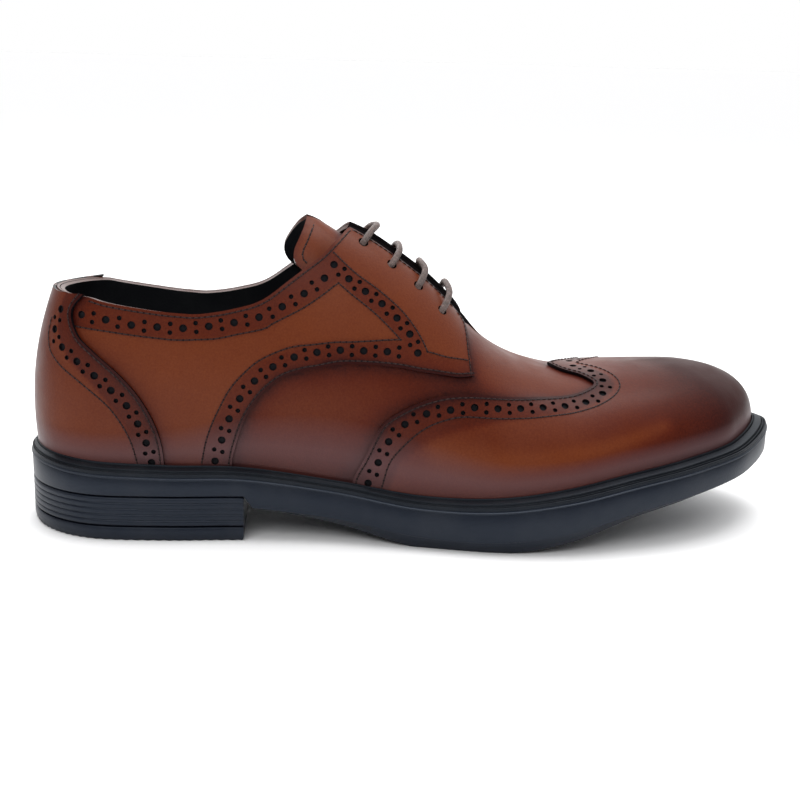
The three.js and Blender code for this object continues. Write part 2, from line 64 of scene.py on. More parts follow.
# Unit sole: one moulded piece of black rubber, with a smooth side wall, a heel seat, an arch and a
# tread. It is grown ring by ring round the edge of the last, whose sections stand here.
# Lengths are in mm. t runs from the heel back (0) round the outer side to the toe tip (12) and on to 24.
SOLE_LENGTH = 306
BALL_WIDTH = 110
INSTEP_HEIGHT = 101
HEEL_LIFT = 26
FOREFOOT_LIFT = 18
TOE_SPRING = 20
BACK_HEIGHT = 70
WELT_REACH = 7
WELT_HEIGHT = 3
WALL = 1.8
SIDEWALL_HEIGHT = 12.6
TREAD_DROP = 5.4
TREAD_INSET = 3.4
HEEL_SEAT_HEIGHT = 17.7
TOP_PIECE_HEIGHT = 5.7
HEEL_BREAST = 87
GAP = 0.3
OVERLAY = 1.2
QUARTER = 1.0
SECTION_COLUMNS = ("x lateral medial heel spring thick tread reach layers "
                   "apex_x apex_y apex wall round full lean bulge").split()
SECTIONS = np.array([
    (0.0, 0.0, 0.0, 1.34, 0, 0.85, 0, 0.36, 1, 0.147, 0.0, 1.05, 1, 1, 1, 0.096, 0.02),
    (0.023, 0.195, 0.191, 1.27, 0, 0.85, 0, 0.6, 1, 0.157, 0.0, 1.05, 1, 1, 1, 0.08, 0.02),
    (0.085, 0.318, 0.314, 1.12, 0, 0.8, 0, 0.9, 1, 0.183, 0.0, 1.07, 1, 1, 1, 0.055, 0.018),
    (0.183, 0.345, 0.341, 1.0, 0, 0.7, 0, 0.95, 1, 0.229, 0.0, 1.13, 0.9, 1, 1, 0.045, 0.018),
    (0.284, 0.341, 0.332, 0.94, 0, 0.94, 0, 0.8, 0.2, 0.301, 0.0, 1.22, 0.45, 1, 1, 0.045, 0.018),
    (0.399, 0.364, 0.341, 0.44, 0, 0.93, 0.5, 0.62, 0, 0.395, 0.0, 1.2, 0, 1, 1, 0.04, 0),
    (0.503, 0.427, 0.382, 0, -0.03, 0.98, 1, 0.85, 0, 0.503, 0.005, 1.0, 0, 0.98, 0.96, 0.04, 0),
    (0.601, 0.482, 0.455, 0, 0, 1.05, 1, 1.0, 0, 0.601, 0.02, 0.72, 0, 0.95, 0.92, 0.04, 0),
    (0.693, 0.487, 0.505, 0, 0.19, 1.05, 0.85, 1.05, 0, 0.683, 0.036, 0.614, 0, 0.9, 0.86, 0.04, 0),
    (0.784, 0.43, 0.482, 0, 0.43, 0.9, 0.5, 1.0, 0, 0.748, 0.05, 0.61, 0, 0.87, 0.82, 0.04, 0),
    (0.869, 0.35, 0.43, 0, 0.62, 0.83, 0.3, 1.0, 0, 0.797, 0.055, 0.616, 0, 0.85, 0.8, 0.04, 0),
    (0.948, 0.205, 0.32, 0, 0.8, 0.76, 0.2, 0.95, 0, 0.83, 0.06, 0.622, 0, 0.85, 0.8, 0.04, 0),
    (1.0, -0.062, 0.062, 0, 1.0, 0.8, 0.15, 0.95, 0, 0.843, 0.062, 0.624, 0, 0.85, 0.8, 0.04, 0),
])
TOE = len(SECTIONS) - 1
HEEL_ROW = 4


def spline(before, start, end, after, part):
    """Places between two rows or points, on a smooth curve that also heeds their neighbours."""
    return 0.5 * (2 * start + (end - before) * part + (2 * before - 5 * start + 4 * end - after) * part ** 2
                  + (3 * start - before - 3 * end + after) * part ** 3)


def along(name, t):
    """A column of the table at any place round the shoe, on a smooth curve through its rows."""
    t = np.asarray(t, float)
    place = np.floor(t).astype(int)
    part = t - place

    def pick(index):
        index = index % (2 * TOE)
        outer = index <= TOE
        row = np.where(outer, index, 2 * TOE - index)
        if name == "side":
            return np.where(outer, -SECTIONS[row, 1], SECTIONS[row, 2])
        return SECTIONS[row, SECTION_COLUMNS.index(name)]

    return spline(*(pick(place + shift) for shift in (-1, 0, 1, 2)), part)


ring_places = np.linspace(0, 2 * TOE, 240, endpoint=False)
side_reach = along("side", ring_places) * BALL_WIDTH
SIDE_MIDDLE = (side_reach.max() + side_reach.min()) / 2


def edge_point(t, inset):
    step = 0.01
    x, y = (along("x", t) - 0.5) * SOLE_LENGTH, along("side", t) * BALL_WIDTH - SIDE_MIDDLE
    dx = (along("x", t + step) - along("x", t - step)) * SOLE_LENGTH
    dy = (along("side", t + step) - along("side", t - step)) * BALL_WIDTH
    run = np.hypot(dx, dy)
    return x - dy / run * inset, y + dx / run * inset


def sole_top(t):
    return FOREFOOT_LIFT + along("heel", t) * (HEEL_LIFT - FOREFOOT_LIFT) + along("spring", t) * TOE_SPRING


def sole_under(t):
    row = np.minimum(t % (2 * TOE), (-t) % (2 * TOE))
    level = HEEL_SEAT_HEIGHT + GAP
    arch = sole_top(t) - along("thick", t) * SIDEWALL_HEIGHT
    return level + (arch - level) * np.clip((row - HEEL_ROW) / 0.06, 0, 1)


def tread_height(t):
    return np.maximum(0, sole_under(t) - TREAD_DROP * np.maximum(0, along("tread", t)))


def finish_object(name, node=None):
    """Names the active object, puts its place in its mesh, hangs it under the root body and hides the model
    part it replaces.
    """
    piece = bpy.context.view_layer.objects.active
    bpy.ops.object.select_all(action="DESELECT")
    piece.select_set(True)
    bpy.ops.object.transform_apply(location=True, rotation=True, scale=True)
    piece.name = name
    piece.data.name = name
    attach(piece, "root")
    if node:
        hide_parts(node)
    return piece


def grown_rings(rings, closed_in_itself=False):
    """A circle extruded from ring to ring, each ring's corners set down at their places."""
    bpy.ops.object.select_all(action="DESELECT")
    bpy.ops.mesh.primitive_circle_add(vertices=len(rings[0]), radius=0.01,
                                      fill_type="NOTHING" if closed_in_itself else "NGON")
    bpy.ops.object.mode_set(mode="EDIT")
    piece = bpy.context.view_layer.objects.active
    count = len(rings[0])
    for index, ring in enumerate(rings):
        if index:
            bpy.ops.mesh.extrude_region_move()
        shape = bmesh.from_edit_mesh(piece.data)
        shape.verts.ensure_lookup_table()
        for vert, place in zip(shape.verts[index * count:], ring):
            vert.co = Vector(place) / 1000
        bmesh.update_edit_mesh(piece.data)
    if closed_in_itself:
        bpy.ops.mesh.select_all(action="SELECT")
        bpy.ops.mesh.remove_doubles(threshold=1e-6)
    bpy.ops.mesh.select_all(action="SELECT")
    bpy.ops.mesh.normals_make_consistent(inside=False)
    bpy.ops.object.mode_set(mode="OBJECT")
    bpy.ops.object.shade_smooth_by_angle(angle=math.radians(38))
    return piece


def sole_ring(inset, height):
    x, y = edge_point(ring_places, inset)
    return np.column_stack((x, y, np.broadcast_to(height, x.shape)))


def feed(tree, node, inputs):
    """Sets each input of a node to a value, or links it to the output that is given for it."""
    for name, value in inputs.items():
        if isinstance(value, bpy.types.NodeSocket):
            tree.links.new(value, node.inputs[name])
        else:
            node.inputs[name].default_value = value


def add(tree, kind, inputs, **fields):
    """A shader node with its fields set and its inputs fed."""
    node = tree.nodes.new("ShaderNode" + kind)
    for field, value in fields.items():
        setattr(node, field, value)
    feed(tree, node, inputs)
    return node


def math_of(tree, operation, *values):
    return add(tree, "Math", dict(enumerate(values)), operation=operation).outputs["Value"]


def noise(tree, place, scale, detail=2, rough=0.5):
    """Clouds over the piece, from 0 to 1."""
    return add(tree, "TexNoise", {"Vector": place["Object"], "Scale": scale, "Detail": detail,
                                  "Roughness": rough}).outputs["Fac"]


def ramp(tree, factor, stops):
    """A colour that changes along a factor, by stops of a place and a colour."""
    node = add(tree, "ValToRGB", {"Fac": factor})
    for _ in stops[2:]:
        node.color_ramp.elements.new(0.5)
    for element, (position, colour) in zip(node.color_ramp.elements, stops):
        element.position = position
        element.color = (*colour, 1)
    return node.outputs["Color"]


def new_material(name):
    """A material, its node tree, its shader and the piece's own coordinates."""
    material = bpy.data.materials.new(name)
    material.use_nodes = True
    tree = material.node_tree
    return material, tree, tree.nodes["Principled BSDF"], add(tree, "TexCoord", {}).outputs


def rubber(name, tone, rough, grain, scuff):
    """Moulded rubber: near black, a fine satin skin, with pale dust caught here and there."""
    material, tree, shader, place = new_material(name)
    cloud = noise(tree, place, 60, 6)
    sheen = add(tree, "MapRange", {"Value": cloud, "To Min": rough - 0.08, "To Max": rough + 0.12})
    bump = add(tree, "Bump", {"Height": noise(tree, place, 1500), "Strength": grain, "Distance": 0.0002})
    dusty = [channel + scuff for channel in tone]
    feed(tree, shader, {"Base Color": ramp(tree, cloud, [(0.45, tone), (0.85, dusty)]),
                        "Roughness": sheen.outputs["Result"], "Normal": bump.outputs["Normal"],
                        "Specular IOR Level": 0.33, "Specular Tint": (0.72, 0.84, 1, 1)})
    return material


sole_rubber = rubber("sole_rubber", (0.0045, 0.0062, 0.0125), 0.4, 0.25, 0.01)
under, top = sole_under(ring_places), sole_top(ring_places)
reach = along("reach", ring_places) * WELT_REACH
tread = tread_height(ring_places)
# Rings of the sole, from the tread up its side and over the flash line: inset from the edge, height.
side_profile = [(TREAD_INSET + 2, tread), (TREAD_INSET, tread), (TREAD_INSET - 0.5, tread + 0.4),
                (1.0, under), (0.3, under + 0.3), (0, under + 1.0), (0, top - 1.6), (0.15, top - 1.35),
                (0.12, top - 1.15), (-0.25, top - 1.0), (-0.25, top - 0.7), (0.1, top - 0.45),
                (0.2, top - 0.1), (0.5, top), (reach - 0.6, top), (reach - 0.3, top - 0.5),
                (reach + 6, top - 0.5)]
outsole = grown_rings([sole_ring(inset, height) for inset, height in side_profile])
outsole.data.materials.append(sole_rubber)
finish_object("outsole_skin", "outsole")

# Heel: a ribbed block and a flatter top piece under it, both of the sole's rubber, moulded with a
# straight breast. The top piece wears a fine toothed edge all round.
heel_places = np.linspace(-HEEL_ROW, HEEL_ROW, 121)


def heel_ring(inset, height):
    x, y = edge_point(heel_places, inset)
    x = np.minimum(x, HEEL_BREAST - SOLE_LENGTH / 2 - inset)
    return np.column_stack((x, y, np.broadcast_to(height, x.shape)))


# Depth of each groove from the lowest up. A rib's form is in shares of that depth and of its pitch.
GROOVES = [0.9, 0.32, 0.32, 0.32, 0.32, 0.8]
rib_low = TOP_PIECE_HEIGHT + GAP
rib_pitch = (HEEL_SEAT_HEIGHT - rib_low) / (len(GROOVES) - 1)
rib_profile = [(1.0, 0.0), (0.5, 0.08), (0.12, 0.2), (0.0, 0.35), (0.0, 0.62), (0.12, 0.8), (0.5, 0.92)]
heel_rings = [heel_ring(GROOVES[rib + (share > 0.5)] * depth, rib_low + (rib + share) * rib_pitch)
              for rib in range(len(GROOVES) - 1) for depth, share in rib_profile]
heel_block = grown_rings(heel_rings + [heel_ring(GROOVES[-1], HEEL_SEAT_HEIGHT)])
heel_block.data.materials.append(sole_rubber)
finish_object("heel_ribs", "heel_block")

TOOTH_DEPTH = 0.5
tooth = TOOTH_DEPTH * (np.arange(len(heel_places)) % 2)
top_piece_profile = [(4, 0), (0.9 + tooth, 0), (0.3 + tooth, 0.7), (0.1 + tooth * 0.4, 2.0), (0, 2.6),
                     (0, 5.0), (0.3, 5.5), (0.9, TOP_PIECE_HEIGHT)]
top_piece = grown_rings([heel_ring(inset, height) for inset, height in top_piece_profile])
top_piece.data.materials.append(sole_rubber)
finish_object("heel_tread", "heel_top_piece")

# Welt: the rim moulded on the sole, with a groove, a fine ridge and a wide sloped band outside and a
# small bead against the upper.
# Its profile, from the sole's edge inwards: shares of the welt's width and of its height.
WELT_PROFILE = [(0.06, 0.0), (0.06, 0.3), (0.08, 0.38), (0.14, 0.4), (0.17, 0.32), (0.18, 0.1),
                (0.22, 0.1), (0.24, 0.3), (0.27, 0.46), (0.31, 0.47), (0.33, 0.38), (0.345, 0.18),
                (0.37, 0.18), (0.385, 0.5), (0.42, 0.66), (0.8, 0.86), (0.84, 0.84), (0.86, 0.6),
                (0.89, 0.6), (0.91, 0.9), (0.94, 1.04), (0.98, 1.04), (1.0, 0.92), (1.0, 0.0)]
welt_width = reach - GAP
welt_rings = [sole_ring(welt_width * share, top + up * WELT_HEIGHT) for share, up in WELT_PROFILE]
welt = grown_rings(welt_rings + [welt_rings[0]], closed_in_itself=True)
welt.data.materials.append(rubber("welt_rubber", (0.003, 0.0036, 0.0055), 0.5, 0.35, 0.008))
finish_object("welt_rim", "welt")

# Sock lining: the black insole that the foot stands on, cut a little inside the upper.
def feather_inset(t):
    return along("reach", t) * WELT_REACH + OVERLAY + GAP + along("layers", t) * (QUARTER + GAP)


insole_inset = feather_inset(ring_places) + WALL + GAP
insole_profile = [(0.7, 0), (0, 0.7), (0, 2.3), (0.2, 2.8), (0.7, 3), (7, 3)]
insole = grown_rings([sole_ring(insole_inset + inset, top + height) for inset, height in insole_profile])
insole.data.materials.append(rubber("sock_lining", (0.012, 0.011, 0.011), 0.8, 0.6, 0.02))
finish_object("sock_lining", "insole")

# Upper: the vamp and its black lining, lasted as one wall, open at the collar and the throat. Every
# leather piece is cut flat, punched, then pulled over the last, so one function makes them all.
# On the flat pattern a unit of t and a unit of v are about as long as on the last, in mm.
FLAT_T = 28
FLAT_V = 80
BACK_ROLL = 0.05
HOLE_FLOOR = 0.12
# Painted reflection of the pale floor: a pinkish-grey band low on each leather piece, its middle and reach
# in shares of v.
PAINTED_REFLECTION_MIDDLE = 0.08
PAINTED_REFLECTION_REACH = 0.1
PAINTED_REFLECTION_COLOUR = (0.13, 0.068, 0.072, 1)
CLOUD_SHARE = 0.3
SPECK_SHARE = 0.3
RIDGE_START = 0.93


def last_point(t, v, offset=0.0):
    """Places on the last in mm: t round the shoe, v from the feather line (0) to the ridge (1)."""
    t, v = np.broadcast_arrays(np.asarray(t, float), np.asarray(v, float))
    x, y = edge_point(t, feather_inset(t))
    z = sole_top(t)
    apex_x = (along("apex_x", t) - 0.5) * SOLE_LENGTH
    apex_y = along("apex_y", t) * BALL_WIDTH - SIDE_MIDDLE * (1 - along("wall", t))
    apex_z = along("apex", t) * INSTEP_HEIGHT
    wall = np.clip(along("wall", t), 0, 1)
    reach = np.hypot(apex_x - x, apex_y - y)
    turn = np.clip(v, 0, 1) * math.pi / 2
    wrap_in = 1 - np.cos(turn) ** along("round", t)
    wrap_up = np.sin(turn) ** along("full", t)
    height = (apex_z - z) * v
    share = height / BACK_HEIGHT
    lean = (along("lean", t) * BALL_WIDTH * share ** 2
            - along("bulge", t) * BALL_WIDTH * np.sin(math.pi * np.minimum(1, share)))
    inward = (1 - wall) * reach * wrap_in + wall * lean
    place = np.stack((x + (apex_x - x) / reach * inward, y + (apex_y - y) / reach * inward,
                      z + (1 - wall) * (apex_z - z) * wrap_up + wall * height), axis=-1)
    if np.any(offset):
        place = place + last_normal(t, v) * np.asarray(offset)[..., None]
    return place


def last_normal(t, v):
    step = 0.02
    low, high = np.clip(v - step, 0, 1 - step), np.clip(v + step, step, 1 - step / 8)
    across = last_point(t + step, np.minimum(v, 0.985)) - last_point(t - step, np.minimum(v, 0.985))
    up = last_point(t, high) - last_point(t, np.minimum(low, high - step / 4))
    normal = np.cross(across, up)
    normal /= np.linalg.norm(normal, axis=-1, keepdims=True)
    ridge = np.clip((v - RIDGE_START) / (1 - RIDGE_START), 0, 1)[..., None]
    run = (along("apex_x", t + step) - along("apex_x", t - step)) * SOLE_LENGTH
    rise = (along("apex", t + step) - along("apex", t - step)) * INSTEP_HEIGHT
    size = np.maximum(np.hypot(run, rise), 1e-6)
    crest = np.stack((-rise * np.sign(run) / size, 0 * run, np.abs(run) / size), axis=-1)
    normal = normal * (1 - ridge) + crest * ridge
    return normal / np.linalg.norm(normal, axis=-1, keepdims=True)


def curve(points, steps):
    """A smooth curve through points, in so many steps from each one to the next."""
    points = np.array(points, float)
    ends = np.vstack((2 * points[0] - points[1], points, 2 * points[-1] - points[-2]))
    part = np.linspace(0, 1, steps, endpoint=False)[:, None]
    walk = [spline(*four, part) for four in zip(ends, ends[1:], ends[2:], ends[3:])]
    return np.vstack(walk + [points[-1:]])


def run_along(places):
    """How far along each place of a line lies."""
    return np.concatenate(([0], np.cumsum(np.linalg.norm(np.diff(places, axis=0), axis=1))))


def at_marks(line, run, marks):
    return np.column_stack([np.interp(marks, run, column) for column in line.T])


def smooth_line(points, pitch):
    """A curve through given (t, v) places, walked in steps of one pitch in mm over the last."""
    walk = curve(points, 24)
    run = run_along(last_point(walk[:, 0], walk[:, 1]))
    count = max(2, round(run[-1] / pitch) + 1)
    return at_marks(walk, run, np.linspace(0, run[-1], count))


def frames_at(t, v):
    """How the last runs at a place: mm along t and along v, to turn mm into (t, v) and back."""
    step = 0.01
    inner = np.clip(v, step, 1 - 2 * step)
    d_t = (last_point(t + step, inner) - last_point(t - step, inner)) / (2 * step)
    d_v = (last_point(t, inner + step) - last_point(t, inner - step)) / (2 * step)
    return d_t, d_v


def moved(line, side_ways):
    """A line of (t, v) places moved over the last by so many mm to its left."""
    d_t, d_v = frames_at(line[:, 0], line[:, 1])
    ahead = np.gradient(line, axis=0)
    run = d_t * ahead[:, :1] + d_v * ahead[:, 1:]
    run /= np.linalg.norm(run, axis=1, keepdims=True)
    left = np.cross(np.cross(d_t, d_v), run)
    left /= np.linalg.norm(left, axis=1, keepdims=True)
    return line + in_flat(d_t, d_v, left * side_ways)


def in_flat(d_t, d_v, step):
    tt, vv, tv = (d_t * d_t).sum(-1), (d_v * d_v).sum(-1), (d_t * d_v).sum(-1)
    st, sv = (step * d_t).sum(-1), (step * d_v).sum(-1)
    size = tt * vv - tv * tv
    return np.stack(((st * vv - sv * tv) / size, (sv * tt - st * tv) / size), axis=-1)


def circle_on_last(centre, radius, corners):
    d_t, d_v = frames_at(np.array([centre[0]]), np.array([centre[1]]))
    side = d_t[0] / np.linalg.norm(d_t[0])
    up = d_v[0] - side * (d_v[0] @ side)
    up /= np.linalg.norm(up)
    angles = np.arange(corners) * 2 * math.pi / corners
    steps = np.outer(np.cos(angles), side) + np.outer(np.sin(angles), up)
    return np.array(centre) + in_flat(d_t[0], d_v[0], steps * radius)


def inside(points, outline):
    """Which flat places lie within a closed outline."""
    result = np.zeros(len(points), bool)
    x, y = points[:, 0], points[:, 1]
    for (x0, y0), (x1, y1) in zip(outline, np.roll(outline, -1, axis=0)):
        if y0 != y1:
            result ^= ((y0 > y) != (y1 > y)) & (x < (x1 - x0) * (y - y0) / (y1 - y0) + x0)
    return result


def distance_to(points, line):
    """Shortest way in mm from each flat place to a line."""
    scale = np.array((FLAT_T, FLAT_V))
    best = np.full(len(points), 1e9)
    for place in line:
        best = np.minimum(best, np.hypot(*((points - place) * scale).T))
    return best


def falloff(distance, width, blend=1.5):
    """1 within a band of so many mm, then softly down to 0."""
    share = np.clip((width - distance) / blend + 0.5, 0, 1)
    return share * share * (3 - 2 * share)


def no_relief(t, v):
    return 0 * t


def cut_flat(loops, spacing):
    """Triangles that fill a flat outline around its punched rims, with a regular net between."""
    low_corner, high_corner = loops[0].min(axis=0), loops[0].max(axis=0)
    grid = np.stack(np.meshgrid(np.arange(low_corner[0], high_corner[0], spacing),
                                np.arange(low_corner[1], high_corner[1], spacing * 0.9)), axis=-1)
    grid[1::2, :, 0] += spacing / 2
    grid = grid.reshape(-1, 2)
    grid = grid[inside(grid, loops[0])]
    for loop in loops:
        for start in range(0, len(loop), 40):
            part = loop[start:start + 40]
            away = np.min(np.hypot(grid[:, None, 0] - part[None, :, 0],
                                   grid[:, None, 1] - part[None, :, 1]), axis=1)
            grid = grid[away > spacing * 0.55]
    edges, start = [], 0
    for loop in loops:
        edges += [(start + i, start + (i + 1) % len(loop)) for i in range(len(loop))]
        start += len(loop)
    cut = delaunay_2d_cdt([Vector(place) for place in np.vstack(loops + [grid])], edges, [], 0, 1e-5)
    places = np.array([tuple(place) for place in cut[0]])
    triangles = np.array(cut[2])
    middles = places[triangles].mean(axis=1)
    keep = inside(middles, loops[0])
    for loop in loops[1:]:
        near = np.hypot(*(middles - loop.mean(axis=0)).T) < np.ptp(loop, axis=0).max() * 0.6
        keep[near] &= ~inside(middles[near], loop)
    order = {source: index for index, sources in enumerate(cut[3]) for source in sources}
    return places, triangles[keep], order


def folded(spots):
    """Both sides seen as the outer one."""
    return np.column_stack((np.minimum(spots[:, 0], 2 * TOE - spots[:, 0]), spots[:, 1]))


def on_seam(spot):
    """Whether a place lies where the two sides of a piece are joined: back, ridge or toe."""
    return spot[1] > 0.9999 or min(abs(spot[0]), abs(spot[0] - TOE), abs(spot[0] - 2 * TOE)) < 1e-6


def active_piece(name, verts, faces):
    """A piece of corners in mm and their faces, in the scene, selected and active."""
    mesh = bpy.data.meshes.new(name)
    mesh.from_pydata([tuple(vert / 1000) for vert in verts], [], faces)
    piece = bpy.data.objects.new(name, mesh)
    bpy.context.scene.collection.objects.link(piece)
    bpy.ops.object.select_all(action="DESELECT")
    piece.select_set(True)
    bpy.context.view_layer.objects.active = piece
    return piece


def lasted_leather(name, parts, low, high, materials, spacing=2.2, relief=no_relief, soft=0.35,
                   shade=None):
    """A piece cut to outlines of (t, v) places, punched, and pulled over the last.

    parts holds an outline and its punches, each (t, v, radius in mm, corners, through). materials are
    skin, cut edge, back, what shows in a hole, and the edge along the collar. The piece lies between
    low and high, in mm over the last.
    """
    scale = np.array((FLAT_T, FLAT_V))
    verts, faces, kinds, tints, painted_reflections = [], [], [], [], []

    def layer(spots, offset, tint):
        t, v = spots[:, 0], np.minimum(spots[:, 1], 1)
        start = len(verts)
        verts.extend(last_point(t, v, offset + relief(t, v)))
        # Each corner's share of dark wax and of painted shade, from the piece's shade function.
        tints.extend(np.broadcast_to(tint, len(spots)))
        # A band low on each piece gets its share of painted floor reflection.
        painted_reflections.extend(np.clip(1 - np.abs(v - PAINTED_REFLECTION_MIDDLE) / PAINTED_REFLECTION_REACH, 0, 1))
        return start

    for outline, punches in parts:
        rims = [circle_on_last(punch[:2], punch[2] + soft / 2, punch[3]) for punch in punches]
        loops = [outline] + rims
        places, triangles, order = cut_flat([loop * scale for loop in loops], spacing)
        spots = places / scale
        skin = layer(spots, high, shade(folded(spots)) if shade else 0)
        back = layer(spots, low, 1)
        for a, b, c in triangles:
            faces.extend(((skin + a, skin + b, skin + c), (back + c, back + b, back + a)))
            kinds.extend((0, 2))
        start = 0
        for number, loop in enumerate(loops):
            count = len(loop)
            ids = [order[start + i] for i in range(count)]
            start += count
            wall = loop
            if number:
                centre, radius = np.array(punches[number - 1][:2]), punches[number - 1][2]
                wall = centre + (loop - centre) * (radius / (radius + soft / 2))
            rolled = distance_to(folded(loop), COLLAR) < ROLLED_REACH
            upper_ring = layer(wall, high - soft, 1)
            low_ring = layer(wall, low + BACK_ROLL, 1)
            for i in range(count):
                j = (i + 1) % count
                if number == 0 and on_seam(loop[i]) and on_seam(loop[j]):
                    continue
                faces.extend(((skin + ids[i], upper_ring + i, upper_ring + j, skin + ids[j]),
                              (upper_ring + i, low_ring + i, low_ring + j, upper_ring + j),
                              (low_ring + i, back + ids[i], back + ids[j], low_ring + j)))
                cut = 4 if len(materials) > 4 and number == 0 and rolled[i] and rolled[j] else 1
                kinds.extend((cut, cut, 2))
            if number and not punches[number - 1][4]:
                floor = layer(wall, low + HOLE_FLOOR, 1)
                faces.append(tuple(range(floor, floor + count)))
                kinds.append(3)
    piece = active_piece(name, verts, faces)
    piece.data.polygons.foreach_set("material_index", kinds)
    for material in materials:
        piece.data.materials.append(material)
    for kind, values in (("wax_and_shade", tints), ("painted_reflection", painted_reflections)):
        piece.data.attributes.new(kind, "FLOAT", "POINT").data.foreach_set("value", values)
    bpy.ops.object.mode_set(mode="EDIT")
    bpy.ops.mesh.select_all(action="SELECT")
    bpy.ops.mesh.remove_doubles(threshold=2e-6)
    bpy.ops.mesh.delete_loose()
    bpy.ops.mesh.select_all(action="SELECT")
    bpy.ops.mesh.normals_make_consistent(inside=False)
    bpy.ops.object.mode_set(mode="OBJECT")
    bpy.ops.object.shade_smooth_by_angle(angle=math.radians(42))


def mirrored(line):
    """The same line on the inner side, walked so that a closed outline keeps its sense."""
    return np.column_stack((2 * TOE - line[:, 0], line[:, 1]))[::-1]


def leather(name, light, middle, dark, gloss, coat, painted_reflection_share=0.0):
    """Burnished leather: a tan crust, wiped with darker wax along every edge and in clouds, darker still
    where painted shade is laid on, with a fine grain and long soft pulls in the skin, under a thin polished
    coat, and a pale pinkish-grey band low down that is painted reflection of the floor."""
    material, tree, shader, place = new_material(name)
    # Per corner: its share of dark wax and painted shade, and its share of painted floor reflection.
    wax_and_shade, painted_reflection = (add(tree, "Attribute", {}, attribute_name=kind).outputs["Fac"]
                      for kind in ("wax_and_shade", "painted_reflection"))
    clouds, specks = noise(tree, place, 26, 5, 0.6), noise(tree, place, 1300)
    wax = math_of(tree, "MULTIPLY_ADD", clouds, CLOUD_SHARE, wax_and_shade)
    wax = math_of(tree, "MULTIPLY_ADD", specks, SPECK_SHARE, wax)
    waxed = ramp(tree, wax, [(0.23, light), (0.68, middle), (1.0, dark)])
    # Mixed towards a pale pinkish grey low down: painted reflection of the floor.
    tint = add(tree, "Mix", {0: math_of(tree, "MULTIPLY", painted_reflection, painted_reflection_share), 6: waxed,
                             7: PAINTED_REFLECTION_COLOUR}, data_type="RGBA")
    pulls = noise(tree, place, 90, 7)
    sheen = add(tree, "MapRange", {"Value": pulls, "From Min": 0.3, "From Max": 0.7,
                                   "To Min": gloss - 0.07, "To Max": gloss + 0.1})
    pores = add(tree, "TexVoronoi", {"Vector": place["Object"], "Scale": 1500})
    fine = add(tree, "Bump", {"Height": pores.outputs["Distance"], "Strength": 0.2, "Distance": 0.00012})
    broad = add(tree, "Bump", {"Height": pulls, "Strength": 0.22, "Distance": 0.0006,
                               "Normal": fine.outputs["Normal"]})
    feed(tree, shader, {"Base Color": tint.outputs[2], "Roughness": sheen.outputs["Result"],
                        "Normal": broad.outputs["Normal"], "Specular IOR Level": 0.1,
                        "Coat Weight": coat, "Coat Roughness": 0.25})
    return material


# The last number is the share of painted floor reflection low down.
skin_leather = leather("tan_leather", (0.146, 0.034, 0.0105), (0.08, 0.0125, 0.0045),
                       (0.028, 0.004, 0.0032), 0.38, 0.06, 0.6)
inked_edge = leather("inked_edge", (0.014, 0.0075, 0.008), (0.009, 0.005, 0.006), (0.005, 0.003, 0.004),
                     0.5, 0.02)
# The rolled collar edge: its own leather brown, tinted pinkish grey as a painted highlight along the fold.
rolled_edge = leather("rolled_edge", (0.095, 0.038, 0.028), (0.08, 0.03, 0.022), (0.06, 0.023, 0.017),
                      0.36, 0.1)
hole_shadow = rubber("hole_shadow", (0.004, 0.003, 0.003), 0.9, 0.1, 0.004)
black_lining = rubber("black_lining", (0.006, 0.0055, 0.006), 0.6, 0.5, 0.01)

# Lines of the upper on the outer side, each from its own listed places (t, v) on the last. The
# inner side carries the same lines.
ROLLED_REACH = 0.6
COLLAR = smooth_line([(0, 0.835), (0.8, 0.835), (1.642, 0.822), (2.053, 0.794), (2.596, 0.737),
                      (3.075, 0.67), (3.433, 0.606), (3.802, 0.56), (4.146, 0.551), (4.454, 0.593),
                      (4.765, 0.656), (4.914, 0.71), (5.047, 0.787), (5.176, 0.911)], 1.6)
THROAT = smooth_line([(5.176, 0.911), (5.763, 0.903), (6.09, 0.905), (6.45, 0.905)], 1.6)
FACING_FRONT = smooth_line([(6.45, 0.905), (6.56, 0.875), (6.6, 0.83), (6.615, 0.76), (6.623, 0.641),
                            (6.654, 0.515)], 1.4)
QUARTER_LOW = smooth_line([(6.654, 0.515), (6.412, 0.452), (6.065, 0.403), (5.72, 0.375),
                           (5.392, 0.348), (5.075, 0.325), (4.812, 0.307), (4.62, 0.3), (4.408, 0.286),
                           (4.249, 0.259), (4.136, 0.228), (4.02, 0.18), (3.942, 0.125), (3.873, 0.057),
                           (3.84, -0.02)], 1.4)
COUNTER_EDGE = smooth_line([(1.696, 0.829), (1.5, 0.772), (1.496, 0.72), (1.727, 0.633), (2.068, 0.561),
                            (2.383, 0.477), (2.607, 0.394), (2.769, 0.311), (2.902, 0.214),
                            (2.983, 0.112), (3.01, -0.02)], 1.3)
WING_EDGE = smooth_line([(5.17, -0.02), (5.19, 0.03), (5.319, 0.091), (5.518, 0.19), (5.79, 0.255),
                         (6.102, 0.317), (6.416, 0.38), (6.945, 0.481), (7.532, 0.559), (7.962, 0.601),
                         (8.333, 0.64), (8.606, 0.691), (8.677, 0.728), (8.648, 0.764), (8.493, 0.846),
                         (8.214, 0.921), (8.048, 1.0)], 1.4)
EYELETS = [(5.323, 0.827), (5.651, 0.794), (5.973, 0.776), (6.268, 0.742)]
EYELET_RADIUS = 1.9
eyelet_cuts = [(t, v, EYELET_RADIUS, 16, True) for t, v in EYELETS]


def level_line(t_from, t_to, v, pitch=2.5):
    count = int(abs(t_to - t_from) * FLAT_T / pitch) + 2
    return np.column_stack((np.linspace(t_from, t_to, count), np.full(count, v)))


